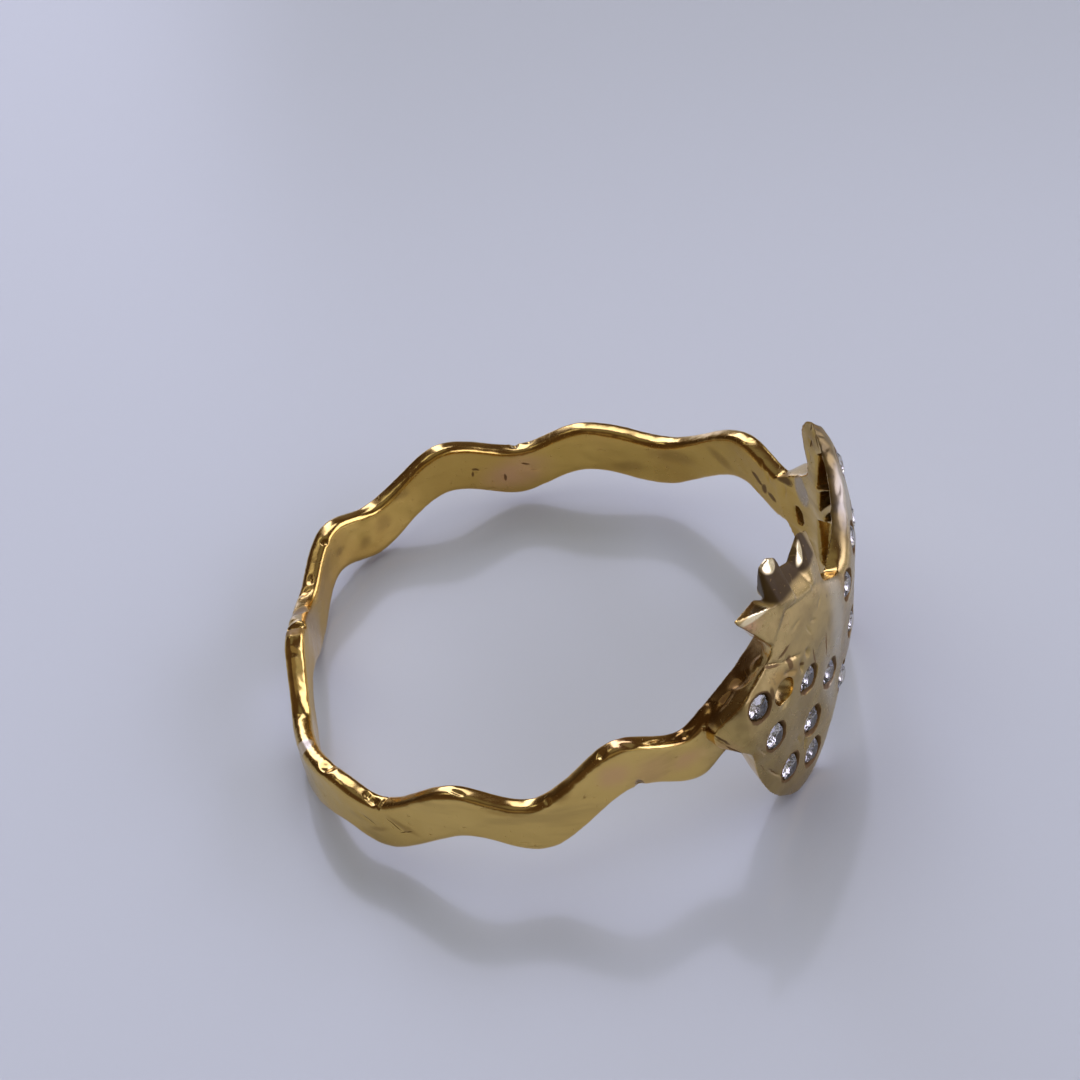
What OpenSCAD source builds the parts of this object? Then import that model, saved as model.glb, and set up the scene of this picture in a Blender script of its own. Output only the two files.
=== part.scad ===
// Gold ring with a wavy band and a domed, spiked head set with small round stones.
// Drawn round the finger's axis with polar places (angle, radius, rise), then laid down as it rests.
// Angle 0 is the middle of the head, 180 the back of the band; the rise is along the finger.

/* [Band] */
// inside radius of the finger hole
inner_radius = 8.5; // [8.3:0.1:8.9]
// height of the band strip along the finger
band_height = 1.75; // [1.5:0.05:2.1]
// thickness of the band strip
band_wall = 0.64; // [0.5:0.02:0.8]
// how much the wave rises and falls, as a share of the ring in hand
wave_share = 1; // [0.6:0.05:1.1]
// how far the lower edge of the wave trails the upper one, in degrees
wave_lag = 1.4; // [0:0.1:2]
// rounding of the worn outer corners
band_round = 0.11; // [0.05:0.01:0.16]
// how far the back of the band is pressed in, as a share of the ring in hand
dent_share = 1; // [0:0.1:1.1]

/* [Head] */
// wall left behind the hollowed back of the head
head_wall = 0.36; // [0.3:0.02:0.5]
// share of the head, from its middle, that is hollowed at the back
hollow_share = 0.86; // [0.76:0.02:0.88]
// rounding at the edge of the head
head_round = 0.12; // [0.06:0.02:0.2]
// wall left behind the open cells of the far side
cell_floor = 0.2; // [0.16:0.02:0.3]
// thickness of the cross ribs in the hollow
rib_wall = 0.16; // [0.12:0.02:0.24]

/* [Stones] */
// girdle diameter of a stone
stone_d = 0.84; // [0.76:0.02:0.9]
// gap between a stone and its seat
stone_gap = 0.04; // [0.03:0.01:0.06]
// flat facets round the crown, and as many below the girdle
stone_facets = 8; // [8:1:12]

/* [Lying] */
// how far the ring leans where it lies, in degrees
lay_tilt = 6.3; // [6:0.1:8]
// direction of its raised side, in degrees
lay_way = -37; // [-40:0.1:-34]

/* [Hidden] */
mm_per_deg = 9.7 * PI / 180;
head_at = -16;
head_rise = 1.2;
seat_d = stone_d + 2 * stone_gap;
hollow_from = -32;
hollow_to = -9;
sink_radius = 9.28;
sink_from = -50.5;
sink_long = 11.5;
lay_shift = [-0.739, 0.012, 2.407];
step = 2.6;
gold = [0.83, 0.66, 0.32];
clear = [0.86, 0.88, 0.9];

// wave of the band's middle line: angle, rise
wave = [
    [20, 0.10], [26.5, 0.32], [39.8, 0.99], [64.4, -0.35], [81.3, 0.13], [95.6, -0.40], [113.1, 0.55],
    [131.7, -0.36], [143.5, 0.12], [159.4, -0.61], [184.4, 0.75], [197.6, -1.03], [223.2, -0.45],
    [232.6, -0.74], [252, 0.31], [266, -0.32], [285.9, 1.25], [299.3, 0.59], [306.7, 1.02], [314, 1.0]
];
// bent shape of the band: angle, inside radius against the round
bend = [
    [14, 0.66], [20, 0.48], [26, 0.2], [32, 0.03], [45, 0], [120, 0.01], [143, 0.15], [160, -0.32],
    [180, -0.91], [200, -0.35], [221, 0.17], [250, 0.04], [290, -0.06], [314, 0]
];
// outer face of the head: rise, radius
face = [
    [-4.2, 9.02], [-3, 9.25], [-2, 9.42], [-0.5, 9.62], [0.7, 9.81], [2.2, 10.03], [3.4, 10.01],
    [4.6, 9.93], [6.2, 9.6]
];
// how far the face stands out from the round near the band: angle, rise of the face
flare = [
    [-70, 0.6], [-62, 0.55], [-54, 0.46], [-48, 0.29], [-44, 0.18], [-40, 0.09], [-36, 0.03], [-30, 0],
    [40, 0]
];
// back of the head at its rim: angle, radius
back = [
    [-70, 8.5], [-36, 8.5], [-30, 8.7], [-24, 9.1], [-18, 9.32], [-12, 9.45], [-8, 9.55], [-3, 9.64],
    [3, 9.64], [8, 9.45], [14, 9.15], [20, 9], [30, 8.55], [40, 8.5]
];
// outline of the head round its middle: direction, reach, step back of the rim's inner edge,
// how much the face rolls over at the edge
reach = [
    [0, 7.6, 0, 1], [7, 6.3, 0.1, 1], [14, 5.75, 0.1, 1], [22, 5.8, 0, 1.2], [30, 6.02, -0.15, 1.8],
    [37, 5.86, -0.3, 2.2], [42, 5.63, -0.35, 2.4], [46, 5.32, -0.35, 2.4], [49, 4.82, -0.3, 2.4],
    [52, 4.05, -0.25, 2.4], [56, 3.2, -0.2, 2.4], [62, 2.5, -0.2, 2.4], [74, 1.85, -0.15, 2.2],
    [85, 1.65, -0.1, 2], [95, 1.62, 0, 1.6], [106, 1.85, 0, 1.2], [116, 2.35, 0.1, 1],
    [124, 3.05, 0.3, 1], [135, 4.4, 1.0, 1], [147, 5.0, 1.2, 1], [157, 5.1, 1.1, 1],
    [166, 5.85, 1.0, 1], [171, 6.45, 0.7, 0.8], [175, 6.8, 0.3, 0.6], [178, 6.95, 0.1, 0.5],
    [181, 6.9, 0, 0.5], [184, 6.45, 0, 0.6], [187, 6.15, 0.15, 1], [191, 6.08, 0.35, 1.6],
    [196, 6.15, 0.45, 2], [204, 6.2, 0.45, 2], [212, 6.2, 0.4, 1.8], [221, 6.11, 0.25, 1.4],
    [229, 5.92, 0.1, 1], [236, 5.5, 0, 1], [241, 4.95, 0, 1], [245, 4.3, 0, 1], [250, 3.5, 0, 1],
    [258, 2.9, 0, 1], [267, 2.5, 0, 1], [277, 2.4, 0, 1], [290, 2.6, 0, 1], [303, 3.1, 0, 1],
    [311, 4.2, 0, 1], [318, 6.2, 0, 1], [324, 7.1, 0, 1], [331, 7.1, 0, 1], [338, 7.3, 0, 1],
    [347, 7.5, 0, 1], [360, 7.6, 0, 1]
];
// stones of the head: angle, rise
stones = [
    [-48.4, 1.94], [-45.5, 0.31], [-33.3, -0.89], [-25.9, 0.02], [-34.4, 1.06], [-41.6, -1.68],
    [-33.6, -2.22], [-19, -1.15], [-15.2, 2.05], [-11.5, 0], [-6, 2.6], [1.5, 0.2], [1, 2.4], [5, 4],
    [9, 0.3], [12, -1.6], [19, -2], [20, 0.2]
];
// seats that have lost their stone: angle, rise
lost = [[-42.2, 1.74]];

function at(a, r, w) = [r * cos(a), r * sin(a), w];
function row(t, x, i = 1) = i >= len(t) - 1 || t[i][0] >= x ? i : row(t, x, i + 1);
function clamp(x) = max(0, min(1, x));
function ease(x) = let (f = clamp(x)) f * f * (3 - 2 * f);
// swings between the rows of a table, level at each row
function swing(t, x) =
    let (i = row(t, x), a = t[i - 1], b = t[i])
    a[1] + (b[1] - a[1]) * ease((x - a[0]) / (b[0] - a[0]));
// runs smoothly through the rows of a table
function slope(t, i, k) =
    let (a = t[max(i - 1, 0)], b = t[min(i + 1, len(t) - 1)]) (b[k] - a[k]) / (b[0] - a[0]);
function through(t, x, k = 1) =
    let (i = row(t, x), a = t[i - 1], b = t[i], h = b[0] - a[0], f = clamp((x - a[0]) / h))
    a[k] * (1 + 2 * f) * (1 - f) * (1 - f) + b[k] * f * f * (3 - 2 * f)
    + h * f * (1 - f) * (slope(t, i - 1, k) * (1 - f) - slope(t, i, k) * f);

function flat(lists) = [for (l = lists) each l];

// section of the band at one angle, from the inner lower corner round by the outer side
function section(a) =
    let (
        ri = inner_radius + dent_share * through(bend, a),
        ro = ri + band_wall,
        lo = wave_share * swing(wave, a - wave_lag) - band_height / 2,
        hi = wave_share * swing(wave, a) + band_height / 2,
        b = band_round
    )
    [
        at(a, ri, lo + b / 2), at(a, ri + b / 2, lo),
        at(a, ro - b, lo), at(a, ro - 0.3 * b, lo + 0.3 * b),
        at(a, ro, lo + b), at(a, ro, hi - 1.4 * b),
        at(a, ro - 0.4 * b, hi - 0.6 * b), at(a, ro - b, hi - 0.1 * b),
        at(a, ri + b, hi), at(a, ri, hi - 0.6 * b)
    ];

module sweep(rings) {
    n = len(rings[0]);
    m = len(rings);
    polyhedron(
        flat(rings),
        concat(
            [[for (j = [n - 1 : -1 : 0]) j]],
            [for (i = [0 : m - 2], j = [0 : n - 1])
                [i * n + j, i * n + (j + 1) % n, (i + 1) * n + (j + 1) % n, (i + 1) * n + j]],
            [[for (j = [0 : n - 1]) (m - 1) * n + j]]
        )
    );
}

module band() {
    from = 18.4;
    to = 312.8;
    sweep([for (a = [from : step : to]) section(a)]);
}

// place on the head's disc, by direction and distance from its middle, as angle and rise
function head_angle(d, q) = head_at + q * cos(d) / mm_per_deg;
function head_up(d, q) = head_rise + q * sin(d);
// radius of the head's outer face: round, flared at the near side, and sunk to the band at its end
function face_at(a, w) =
    let (r = through(face, w) + through(flare, a) * max(0.2, min(1.3, 1.3 - 0.4 * w)))
    r + (sink_radius - r) * ease((sink_from - a) / sink_long);
function outer(a, w, s, roll) = face_at(a, w) - head_round * roll * pow(s, 8);
function inner(a, w, s, roll) =
    let (
        rim = min(through(back, a), face_at(a, w) - head_round * roll - 0.2),
        floor = face_at(a, w) - head_wall
    )
    rim + (max(floor, rim) - rim) * ease((hollow_share + 0.07 - s) / 0.07)
        * ease((hollow_to - a) / 2) * ease((a - hollow_from) / 3);
function outer_place(d, s) =
    let (q = s * through(reach, d), a = head_angle(d, q), w = head_up(d, q))
    at(a, outer(a, w, s, through(reach, d, 3)), w);
function inner_place(d, s) =
    let (q = s * (through(reach, d) - through(reach, d, 2)), a = head_angle(d, q), w = head_up(d, q))
    at(a, inner(a, w, s, through(reach, d, 3)), w);

module head_plate() {
    shares = [0.15, 0.35, 0.55, 0.7, 0.8, 0.86, 0.88, 0.9, 0.93, 0.97, 1];
    n = 72;
    m = len(shares);
    top = [for (s = shares, j = [0 : n - 1]) outer_place(j * 360 / n, s)];
    under = [for (s = shares, j = [0 : n - 1]) inner_place(j * 360 / n, s)];
    mid_out = outer_place(0, 0);
    mid_in = inner_place(0, 0);
    k = n * m;
    rim = (m - 1) * n;
    polyhedron(
        concat(top, under, [mid_out, mid_in]),
        concat(
            [for (j = [0 : n - 1]) [2 * k, (j + 1) % n, j]],
            [for (i = [0 : m - 2], j = [0 : n - 1])
                [i * n + j, i * n + (j + 1) % n, (i + 1) * n + (j + 1) % n, (i + 1) * n + j]],
            [for (j = [0 : n - 1])
                [rim + j, rim + (j + 1) % n, k + rim + (j + 1) % n, k + rim + j]],
            [for (i = [0 : m - 2], j = [0 : n - 1])
                [
                    k + (i + 1) * n + j, k + (i + 1) * n + (j + 1) % n,
                    k + i * n + (j + 1) % n, k + i * n + j
                ]],
            [for (j = [0 : n - 1]) [2 * k + 1, k + j, k + (j + 1) % n]]
        )
    );
}

// a form spanned between small blocks at its corners
module spanned(corners, grain = 0.06) {
    hull() for (p = corners) translate(at(p[0], p[1], p[2])) rotate(p[0]) cube(grain, center = true);
}

// spikes of the upper edge, from the lowest to the highest, the third one the web between two of them:
// corners as angle, radius, rise
spike_corners = [
    [
        [-48.2, 9.75, 5.12], [-42.3, 9.9, 3.6], [-37.6, 9.95, 4.6], [-41.2, 9.3, 4.85],
        [-39.5, 8.7, 3.1], [-36, 8.9, 4], [-38, 9.6, 3.2]
    ],
    [
        [-37.7, 9.3, 5.74], [-35.7, 9.3, 5.8], [-33.6, 9.3, 5.55], [-39.5, 9.6, 4.9],
        [-38.5, 9.95, 4.65], [-34.5, 9.95, 4.35], [-36.5, 8.9, 4.5], [-31, 9, 4.2]
    ],
    [
        [-34, 9.3, 5.15], [-30.6, 9.3, 4.94], [-28.9, 9.3, 4.79], [-37, 9.95, 4.35], [-29, 9.92, 3.95],
        [-33, 8.9, 4.1], [-28, 8.9, 3.8]
    ],
    [
        [-24.2, 9.3, 5.25], [-20.6, 9.3, 4.9], [-26.8, 9.4, 5.05], [-29.2, 9.3, 4.8], [-21.5, 9.5, 3.7],
        [-28, 9.88, 4], [-24, 9.8, 3.4], [-24, 8.9, 3.9], [-29, 8.9, 3.8]
    ]
];

module spikes() {
    for (s = spike_corners) spanned(s);
}

// thin bars that cross the hollow: from and to, each as angle, radius and rise of the free edge
bars = [[[-30, 9, 2.5], [-12, 9.2, -0.6]], [[-31, 9, -0.9], [-12, 9.1, 1.8]]];

module ribs() {
    deep = 0.45;
    for (b = bars)
        spanned(
            [for (e = b, d = [0, deep]) [e[0], min(e[1] + d, face_at(e[0], e[2]) - 0.15), e[2]]],
            rib_wall
        );
}

// open cells in the back of the far side, with ribs left between them: corners as angle and rise
cells = [
    [[10.6, 3.74], [6.8, 4.3], [2.2, 3.9], [3.2, 3.2], [13, 2.25]],
    [[12.5, 2.0], [5.4, 2.85], [6.2, 2.5], [13.8, 1.25]],
    [[3.2, 2.6], [9.0, 1.4], [12.4, 0.95]],
    [[15.6, 0.52], [8.8, 1.05], [8.6, -0.4], [17.0, -1.75], [19.4, -1.8]]
];

module cell(c) {
    spanned([for (k = c, r = [8.3, face_at(k[0], k[1]) - cell_floor]) [k[0], r, k[1]]], 0.08);
}

// stands on the outer face at an angle and rise, looking out
module stand(a, w) {
    r = face_at(a, w);
    lean = atan((face_at(a, w + 0.3) - face_at(a, w - 0.3)) / 0.6);
    side = atan((face_at(a + 2, w) - face_at(a - 2, w)) / (r * 4 * PI / 180));
    translate(at(a, r, w)) rotate(a - side) rotate([0, 90 + lean, 0]) children();
}

module seat(deep) {
    hull() {
        translate([0, 0, 0.3]) cylinder(h = 0.1, d = seat_d + 0.2, $fn = 20);
        translate([0, 0, -0.15]) cylinder(h = 0.1, d = seat_d, $fn = 20);
    }
    hull() {
        translate([0, 0, -0.16]) cylinder(h = 0.03, d = seat_d, $fn = 20);
        translate([0, 0, -deep]) cylinder(h = 0.1, d = seat_d - 0.7 * deep + 0.08, $fn = 20);
    }
}

// small blind pit beside the far end of the band: angle, radius, rise, length
pits = [[23, 8.8, 0.1, 0.36]];

module pit(p) {
    translate(at(p[0], p[1], p[2])) rotate(p[0]) hull() for (k = [-1, 1])
        translate([0, 0, k * p[3] / 2]) rotate([0, 90, 0])
            cylinder(h = 0.5, d = 0.36, center = true, $fn = 12);
}

module cut_stone() {
    r = stone_d / 2;
    turn = 180 / stone_facets;
    color(clear) hull() {
        translate([0, 0, 0.03]) rotate(turn) cylinder(h = 0.01, r = 0.6 * r, $fn = stone_facets);
        translate([0, 0, -0.13]) cylinder(h = 0.03, r = r, $fn = stone_facets * 2);
        translate([0, 0, -0.42]) rotate(turn) cylinder(h = 0.01, r = 0.1 * r, $fn = stone_facets);
    }
}

module laid() {
    translate(lay_shift) rotate(a = lay_tilt, v = [sin(lay_way), -cos(lay_way), 0]) children();
}

module ring_body() {
    color(gold) laid() difference() {
        union() {
            band();
            head_plate();
            spikes();
            ribs();
        }
        for (s = stones) stand(s[0], s[1]) seat(0.62);
        for (s = lost) stand(s[0], s[1]) seat(0.5);
        for (p = pits) pit(p);
        for (c = cells) cell(c);
    }
}

module stone(i) {
    laid() stand(stones[i][0], stones[i][1]) cut_stone();
}

ring_body();
stone(0);  // stone_1
stone(1);  // stone_2
stone(2);  // stone_3
stone(3);  // stone_4
stone(4);  // stone_5
stone(5);  // stone_6
stone(6);  // stone_7
stone(7);  // stone_8
stone(8);  // stone_9
stone(9);  // stone_10
stone(10);  // stone_11
stone(11);  // stone_12
stone(12);  // stone_13
stone(13);  // stone_14
stone(14);  // stone_15
stone(15);  // stone_16
stone(16);  // stone_17
stone(17);  // stone_18
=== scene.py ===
import math
from functools import reduce

import bmesh
import bpy
import numpy as np
from mathutils import Matrix, Vector


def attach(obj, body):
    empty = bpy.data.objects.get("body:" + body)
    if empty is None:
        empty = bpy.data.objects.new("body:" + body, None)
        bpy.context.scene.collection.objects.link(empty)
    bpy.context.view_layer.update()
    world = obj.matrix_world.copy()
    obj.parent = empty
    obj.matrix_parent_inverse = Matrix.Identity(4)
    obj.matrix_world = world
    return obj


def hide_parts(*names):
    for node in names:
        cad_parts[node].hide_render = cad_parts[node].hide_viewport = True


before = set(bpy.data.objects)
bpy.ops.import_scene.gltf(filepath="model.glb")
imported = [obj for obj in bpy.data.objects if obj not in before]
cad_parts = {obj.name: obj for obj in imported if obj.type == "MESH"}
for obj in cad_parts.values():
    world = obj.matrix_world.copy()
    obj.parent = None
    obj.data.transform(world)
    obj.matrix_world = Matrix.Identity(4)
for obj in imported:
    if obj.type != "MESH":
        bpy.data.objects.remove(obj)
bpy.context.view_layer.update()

# sizes in millimetres and degrees, round the finger's axis: angle, radius, rise along the finger
MM = 0.001

# band: its ends and its steps in degrees, the points round its section, and the lag by which the waves of
# its lower edge trail those of its upper edge
INNER_RADIUS = 8.5
BAND_HEIGHT = 1.75
BAND_WALL = 0.64
BAND_CORNER = 0.21
BAND_FROM, BAND_TO, BAND_STEP = 17.5, 313.8, 0.35
BAND_SIDES = 64
WAVE_LAG = 1.4

# head: its middle, the radius at which its reach is measured, its wall, how far its face rolls over and how
# late, its least wall at the rim, and the points round its outline
HEAD_AT, HEAD_RISE = -16, 1.2
HEAD_RADIUS = 9.7
MM_PER_DEG = HEAD_RADIUS * math.pi / 180
HEAD_WALL = 0.36
HEAD_ROUND = 0.12
ROLL_POWER = 8
RIM_WALL = 0.2
HEAD_SIDES = 600
# head: how much of the flare shows, which falls with the rise
FLARE_FALL, FLARE_LEAST, FLARE_MOST = 0.4, 0.2, 1.3
# head: the near end sinks to the band at this radius, from this angle on, over this many degrees
SINK_RADIUS, SINK_FROM, SINK_LONG = 9.28, -50.5, 11.5
# hollow behind the head: its share of the outline, its soft edge, its ends and how softly they start
HOLLOW_SHARE, HOLLOW_SOFT = 0.86, 0.07
HOLLOW_FROM, HOLLOW_TO = -32, -9
HOLLOW_SOFT_FROM, HOLLOW_SOFT_TO = 3, 2
# metal left between an open cell and the face, and the thickness of the thin bars
CELL_FLOOR = 0.2
RIB_WALL = 0.16

# stones and their seats: width of each, how deep the stones sit, and the steps round a seat
SEAT_D = 0.92
STONE_D = 0.84
STONE_SINK = 0.11
SEAT_SIDES = 40

# blocks that spikes, cells and pits are spanned between, and the wear of the spikes' edges
BLOCK, PIT_BLOCK = 0.08, 0.04
SPIKE_SOFT = 0.05

# casting: grain of the worn surface, how it is smoothed, the share of faces kept, angle of its sharp edges
GRAIN = 0.05
SMOOTH_SHARE, SMOOTH_TIMES = 0.5, 4
KEPT_FACES = 0.42
SHARP_EDGE = 38

# how the ring lies: its tilt, the way it tilts to, and its shift
LAY_TILT, LAY_WAY = 6.3, -37
LAY_SHIFT = (-0.739, 0.012, 2.407)

# camera, placed round the ring before it is laid: way to it, rise, roll, how far off, what it aims at
VIEW_WAY, VIEW_RISE, VIEW_ROLL = -81.373, 38.464, -13.707
VIEW_FAR = 126.768
VIEW_AIM = (0.069, 1.679, 2.076)
# focal length and width of the picture in pixels, width of the film in millimetres
FOCAL, PICTURE, FILM = 4000, 1080, 36
# near and far ends of the view, half size of the table, and the light overhead, in metres and watts
VIEW_NEAR, VIEW_END = 0.005, 20
TABLE_HALF = 1.5
LIGHT_PLACE, LIGHT_SIZE, LIGHT_POWER, LIGHT_TONE = (-0.1, 0.2, 0.6), 1.1, 3.65, (0.97, 0.97, 1.0)

# band: angle, rise of the middle line
WAVE = [
    (14, 0.0), (20, 0.10), (26.5, 0.32), (39.8, 0.99), (64.4, -0.35), (81.3, 0.13), (95.6, -0.40),
    (113.1, 0.55), (131.7, -0.36), (143.5, 0.12), (159.4, -0.61), (184.4, 0.75), (197.6, -1.03),
    (223.2, -0.45), (232.6, -0.74), (252, 0.31), (266, -0.32), (285.9, 1.25), (299.3, 0.59),
    (306.7, 1.02), (314, 1.0),
]
# band: angle, inside radius against the round
BEND = [
    (14, 0.66), (20, 0.48), (26, 0.2), (32, 0.03), (45, 0), (120, 0.01), (143, 0.15), (160, -0.32),
    (180, -0.91), (200, -0.35), (221, 0.17), (250, 0.04), (290, -0.06), (314, 0),
]
# head: rise, outer radius
FACE = [
    (-4.2, 9.02), (-3, 9.25), (-2, 9.42), (-0.5, 9.62), (0.7, 9.81), (2.2, 10.03), (3.4, 10.01),
    (4.6, 9.93), (6.2, 9.6),
]
# head: angle, how far its face stands out from the round
FLARE = [
    (-70, 0.6), (-62, 0.55), (-54, 0.46), (-48, 0.29), (-44, 0.18), (-40, 0.09), (-36, 0.03), (-30, 0),
    (40, 0),
]
# head: angle, radius of its back at the rim
BACK = [
    (-70, 8.5), (-36, 8.5), (-30, 8.7), (-24, 9.1), (-18, 9.32), (-12, 9.45), (-8, 9.55), (-3, 9.64),
    (3, 9.64), (8, 9.45), (14, 9.15), (20, 9), (30, 8.55), (40, 8.5),
]
# head outline: direction round its middle, reach, step back of the rim's inner edge, roll of face
REACH = [
    (0, 7.6, 0, 1),
    (7, 6.3, 0.1, 1),
    (14, 5.75, 0.1, 1),
    (22, 5.8, 0, 1.2),
    (30, 6.02, -0.15, 1.8),
    (37, 5.86, -0.3, 2.2),
    (42, 5.63, -0.35, 2.4),
    (46, 5.32, -0.35, 2.4),
    (49, 4.82, -0.3, 2.4),
    (52, 4.05, -0.25, 2.4),
    (56, 3.2, -0.2, 2.4),
    (62, 2.5, -0.2, 2.4),
    (74, 1.85, -0.15, 2.2),
    (85, 1.65, -0.1, 2),
    (95, 1.62, 0, 1.6),
    (106, 1.85, 0, 1.2),
    (116, 2.35, 0.1, 1),
    (124, 3.05, 0.3, 1),
    (135, 4.4, 1.0, 1),
    (147, 5.0, 1.2, 1),
    (157, 5.1, 1.1, 1),
    (166, 5.85, 1.0, 1),
    (171, 6.45, 0.7, 0.8),
    (175, 6.8, 0.3, 0.6),
    (178, 6.95, 0.1, 0.5),
    (181, 6.9, 0, 0.5),
    (184, 6.45, 0, 0.6),
    (187, 6.15, 0.15, 1),
    (191, 6.08, 0.35, 1.6),
    (196, 6.15, 0.45, 2),
    (204, 6.2, 0.45, 2),
    (212, 6.2, 0.4, 1.8),
    (221, 6.11, 0.25, 1.4),
    (229, 5.92, 0.1, 1),
    (236, 5.5, 0, 1),
    (241, 4.95, 0, 1),
    (245, 4.3, 0, 1),
    (250, 3.5, 0, 1),
    (258, 2.9, 0, 1),
    (267, 2.5, 0, 1),
    (277, 2.4, 0, 1),
    (290, 2.6, 0, 1),
    (303, 3.1, 0, 1),
    (311, 4.2, 0, 1),
    (318, 6.2, 0, 1),
    (324, 7.1, 0, 1),
    (331, 7.1, 0, 1),
    (338, 7.3, 0, 1),
    (347, 7.5, 0, 1),
    (360, 7.6, 0, 1),
]
# stones: angle, rise, turn in the seat, depth of the seat
STONES = [
    (-48.4, 1.94, 10, 0.62),
    (-45.5, 0.31, 40, 0.62),
    (-33.3, -0.89, 75, 0.62),
    (-25.9, 0.02, 20, 0.62),
    (-34.4, 1.06, 55, 0.62),
    (-41.6, -1.68, 30, 0.62),
    (-33.6, -2.22, 5, 0.62),
    (-19, -1.15, 80, 0.62),
    (-15.2, 2.05, 25, 0.62),
    (-11.5, 0, 60, 0.62),
    (-6, 2.6, 15, 0.62),
    (1.5, 0.2, 35, 0.62),
    (1, 2.4, 70, 0.62),
    (5, 4, 50, 0.62),
    (9, 0.3, 0, 0.62),
    (12, -1.6, 45, 0.62),
    (19, -2, 65, 0.34),
    (20, 0.2, 22, 0.62),
]
# seats with no stone: angle, rise
LOST = [(-42.2, 1.74)]
# spikes at the head's upper edge: corners as angle, radius, rise
SPIKES = [
    [
        (-48.2, 9.75, 5.12), (-42.3, 9.9, 3.6), (-37.6, 9.95, 4.6), (-41.2, 9.3, 4.85),
        (-39.5, 8.7, 3.1), (-36, 8.9, 4), (-38, 9.6, 3.2),
    ],
    [
        (-37.7, 9.3, 5.74), (-35.7, 9.3, 5.8), (-33.6, 9.3, 5.55), (-39.5, 9.6, 4.9),
        (-38.5, 9.95, 4.65), (-34.5, 9.95, 4.35), (-36.5, 8.9, 4.5), (-31, 9, 4.2),
    ],
    [
        (-34, 9.3, 5.15), (-30.6, 9.3, 4.94), (-28.9, 9.3, 4.79), (-37, 9.95, 4.35), (-29, 9.92, 3.95),
        (-33, 8.9, 4.1), (-28, 8.9, 3.8),
    ],
    [
        (-24.2, 9.3, 5.25), (-20.6, 9.3, 4.9), (-26.8, 9.4, 5.05), (-29.2, 9.3, 4.8),
        (-21.5, 9.5, 3.7), (-28, 9.88, 4), (-24, 9.8, 3.4), (-24, 8.9, 3.9), (-29, 8.9, 3.8),
    ],
]
# thin bars across the hollow: ends as angle, radius, rise of the free edge
BARS = [
    [(-30, 9, 2.5), (-12, 9.2, -0.6)],
    [(-31, 9, -0.9), (-12, 9.1, 1.8)],
]
# open cells at the back of the far side: corners as angle, rise
CELLS = [
    [(10.6, 3.74), (6.8, 4.3), (2.2, 3.9), (3.2, 3.2), (13, 2.25)],
    [(12.5, 2.0), (5.4, 2.85), (6.2, 2.5), (13.8, 1.25)],
    [(3.2, 2.6), (9.0, 1.4), (12.4, 0.95)],
    [(15.6, 0.52), (8.8, 1.05), (8.6, -0.4), (15.6, -1.35), (17.6, -1.35)],
]
# blind pits: angle, radius, rise, length
PITS = [(23, 8.8, 0.1, 0.75)]
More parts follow.
